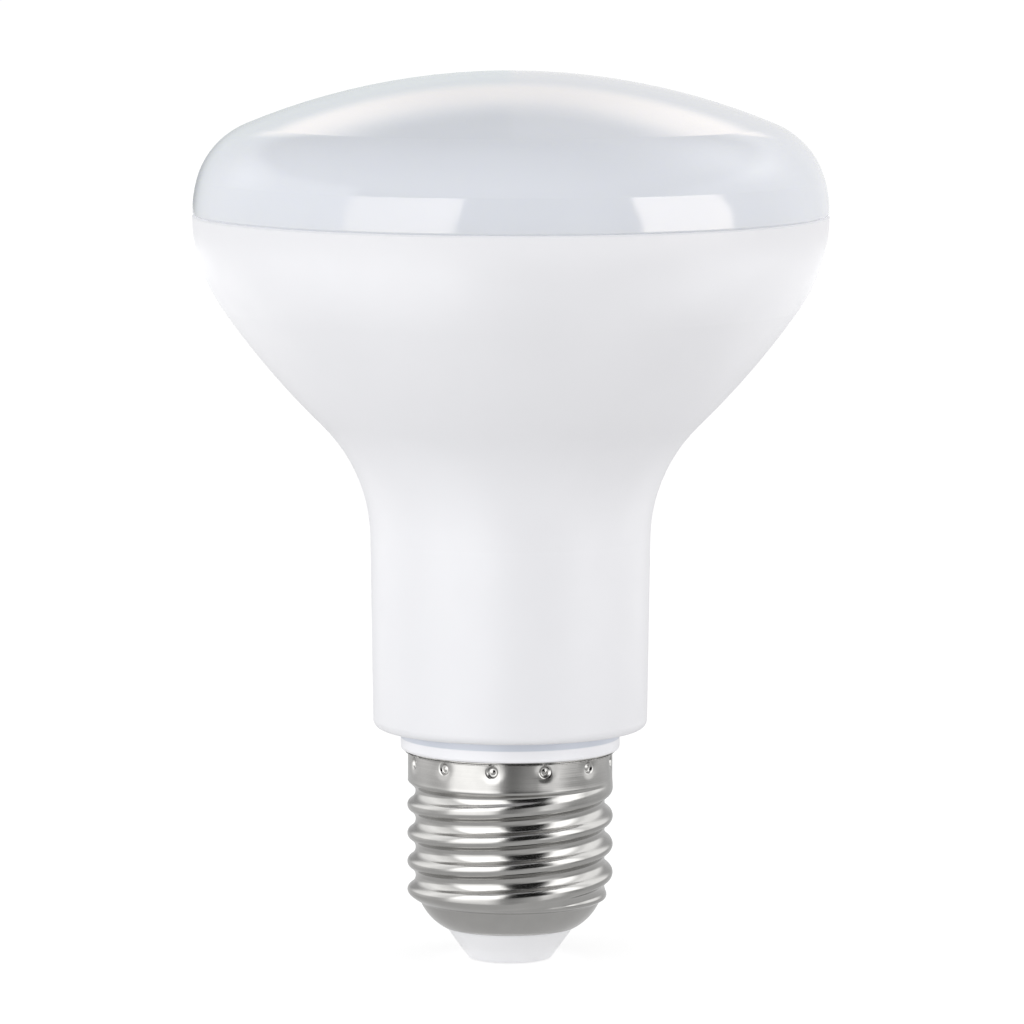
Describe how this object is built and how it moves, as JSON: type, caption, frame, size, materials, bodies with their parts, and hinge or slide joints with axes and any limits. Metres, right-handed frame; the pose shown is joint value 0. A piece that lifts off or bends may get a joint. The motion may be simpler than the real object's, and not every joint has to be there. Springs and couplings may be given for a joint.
{
  "type": "reflector bulb",
  "caption": "Reflector lamp with an opal domed front, a flared white housing, a hidden light board and driver, and a nickel-plated screw cap.",
  "frame": {"origin": "middle of the centre contact's outer face", "axes": "+Z from the screw cap to the domed front, +X to the right of the picture's view, which looks along +Y"},
  "size_m": [0.08, 0.08, 0.1125],
  "materials": {
    "opal_cover": "glossy opal polycarbonate",
    "white_housing": "satin moulded white polyester",
    "sleeve_white": "smooth moulded white polyester",
    "nickel_plate": "satin nickel plate, rolled",
    "insulator_white": "smooth moulded white thermoset",
    "contact_brass": "pressed brass",
    "liner_aluminium": "pressed, bright",
    "glue": "cured silicone",
    "thermal_pad": "matt silicone sheet",
    "board_white": "white solder mask",
    "board_green": "green solder mask",
    "led_phosphor": "yellow phosphor resin",
    "screw_steel": "zinc-plated",
    "plug_white": "moulded nylon",
    "can_sleeve": "shrunk sleeve",
    "film_box": "moulded case",
    "resistor_coat": "cement coat",
    "ferrite": "sintered ferrite",
    "copper_wire": "enamelled copper, wound",
    "bobbin_black": "moulded phenolic",
    "winding_tape": "yellow polyester tape",
    "chip_black": "moulded epoxy",
    "wire_red": "insulated wire",
    "wire_black": "insulated wire",
    "wire_white": "insulated wire"
  },
  "bodies": {
    "root": {"diffuser_cover": "opal_cover", "cover_adhesive": "glue", "housing": "white_housing", "heat_sink_liner": "liner_aluminium", "mounting_plate": "liner_aluminium", "thermal_pad": "thermal_pad", "led_board": "board_white", "leds": "led_phosphor", "board_screws": "screw_steel", "led_plug": "plug_white", "driver_sleeve": "sleeve_white", "driver_board": "board_green", "input_capacitor": "can_sleeve", "output_capacitor": "can_sleeve", "fuse_resistor": "resistor_coat", "choke_core": "ferrite", "choke_winding": "copper_wire", "film_capacitor": "film_box", "transformer_core": "ferrite", "transformer_bobbin": "bobbin_black", "transformer_winding": "winding_tape", "bridge_rectifier": "chip_black", "driver_chip": "chip_black", "output_diode": "chip_black", "live_wire": "wire_red", "neutral_wire": "wire_white", "led_wire_positive": "wire_red", "led_wire_negative": "wire_black", "screw_shell": "nickel_plate", "cap_insulator": "insulator_white", "centre_contact": "contact_brass"}
  },
  "joints": []
}
